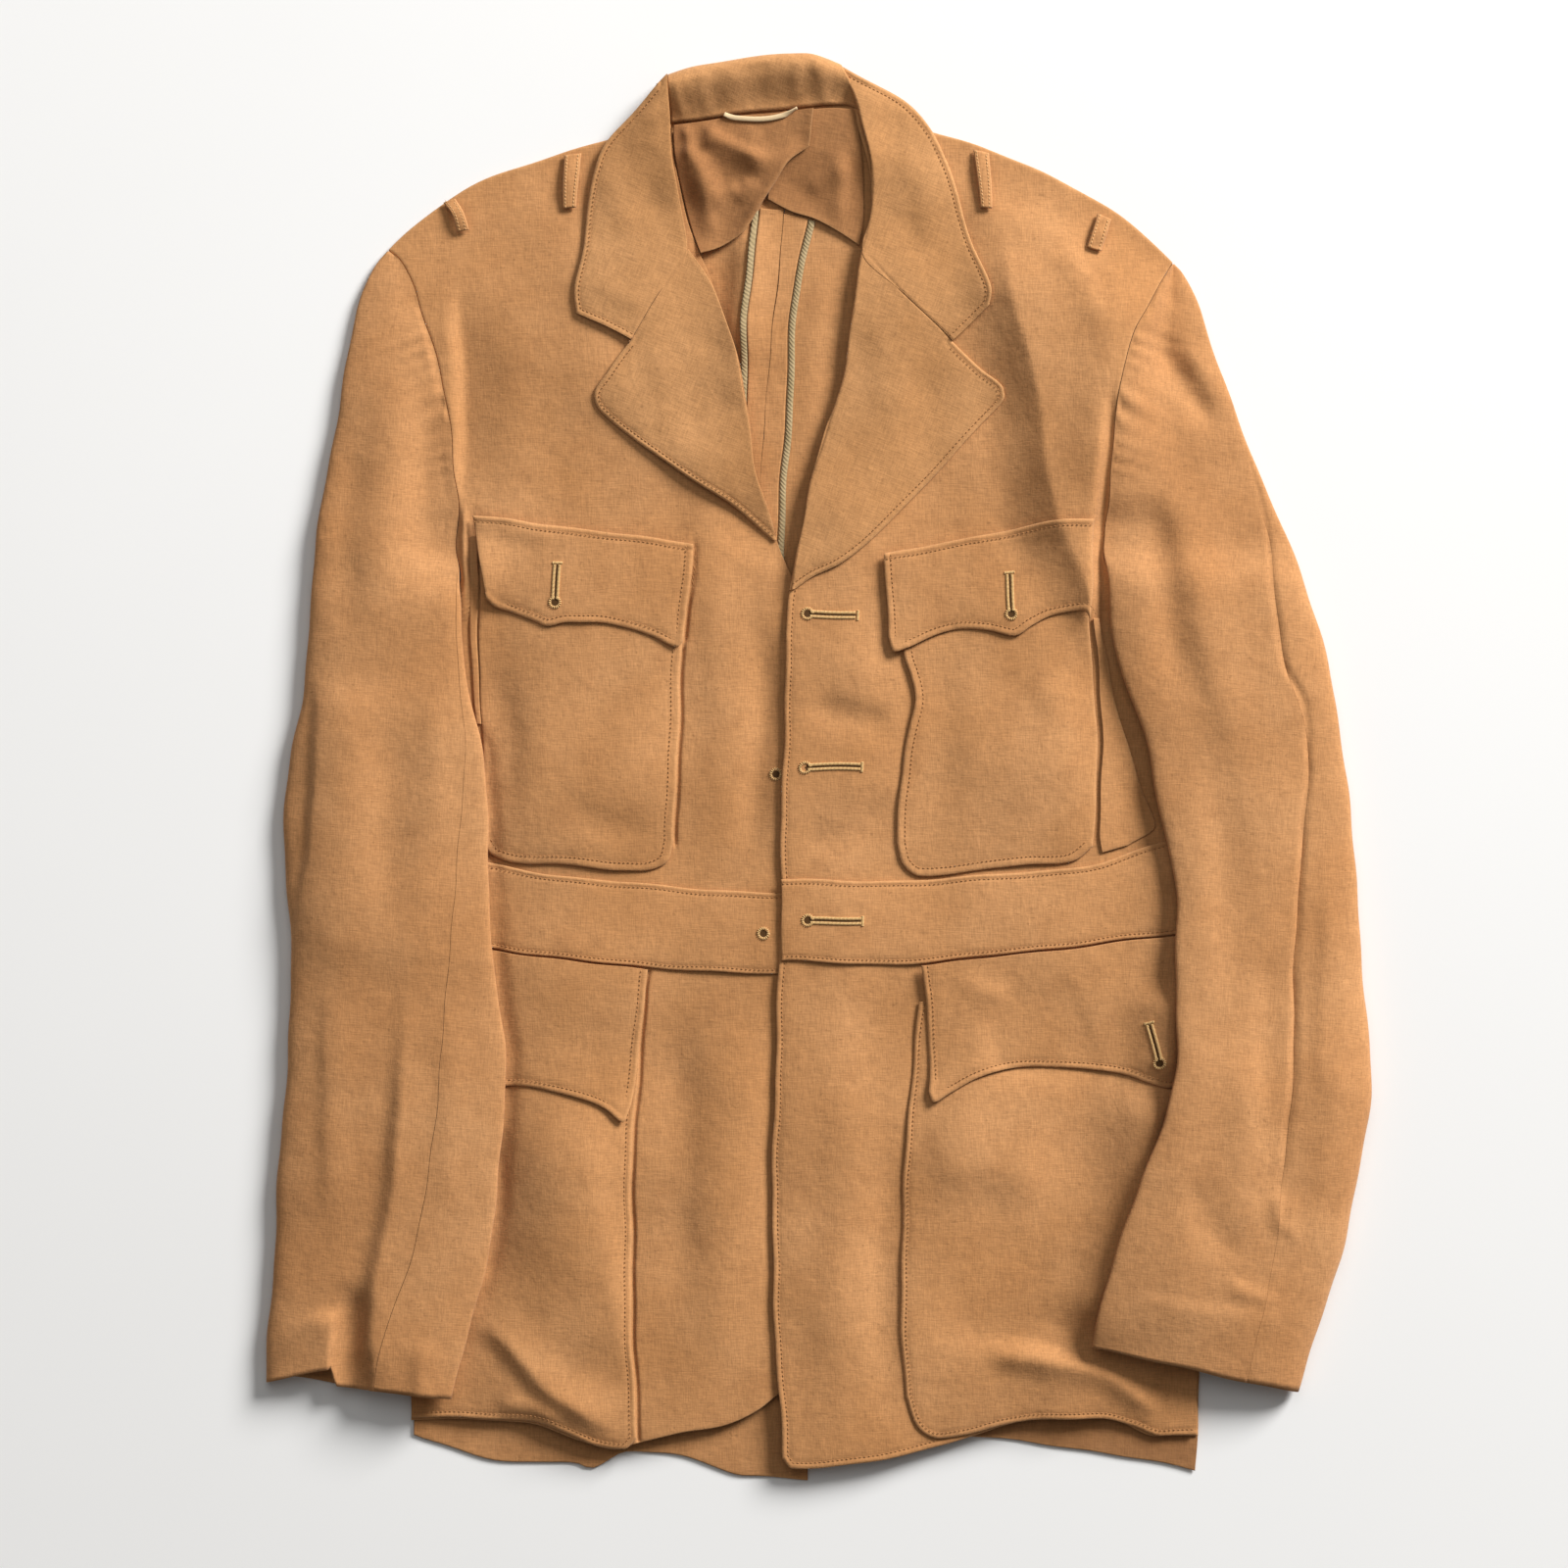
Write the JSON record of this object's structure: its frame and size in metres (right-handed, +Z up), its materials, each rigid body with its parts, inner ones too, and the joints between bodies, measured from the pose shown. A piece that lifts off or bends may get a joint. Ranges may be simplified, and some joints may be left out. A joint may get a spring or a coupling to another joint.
{
  "type": "military coat",
  "caption": "Tropical service coat in tan drill, laid flat and open at the neck, with notched lapels, flapped bellows patch pockets, sewn waistband and long sleeves.",
  "frame": {"origin": "middle of the coat's overall box, on the surface that it lies on", "axes": "+X to the wearer's left, +Y from the hem to the collar, +Z up from the surface"},
  "size_m": [0.6174, 0.7999, 0.0183],
  "materials": {
    "drill": "washed, matt",
    "lining": "washed, matt",
    "binding": "matt tape",
    "cord": "matt cord"
  },
  "bodies": {
    "root": {"back_r": "drill", "back_l": "drill", "collar_back": "drill", "collar_leaf_r": "drill", "collar_leaf_l": "drill", "lapel_r": "drill", "lapel_l": "drill", "front_r": "drill", "front_l": "drill", "waistband_r": "drill", "waistband_l": "drill", "skirt_r": "drill", "skirt_l": "drill", "breast_pocket_r": "drill", "breast_pocket_l": "drill", "breast_gusset_r": "drill", "breast_gusset_l": "drill", "breast_flap_r": "drill", "breast_flap_l": "drill", "skirt_pocket_r": "drill", "skirt_pocket_l": "drill", "skirt_flap_r": "drill", "skirt_flap_l": "drill", "loop_neck_r": "drill", "loop_neck_l": "drill", "loop_arm_r": "drill", "loop_arm_l": "drill", "upper_sleeve_r": "drill", "upper_sleeve_l": "drill", "under_sleeve_r": "drill", "under_sleeve_l": "drill", "yoke_lining_r": "lining", "yoke_lining_l": "lining", "back_turning_r": "lining", "back_turning_l": "lining", "seam_binding_r": "binding", "seam_binding_l": "binding", "hanger_loop": "cord"}
  },
  "joints": []
}
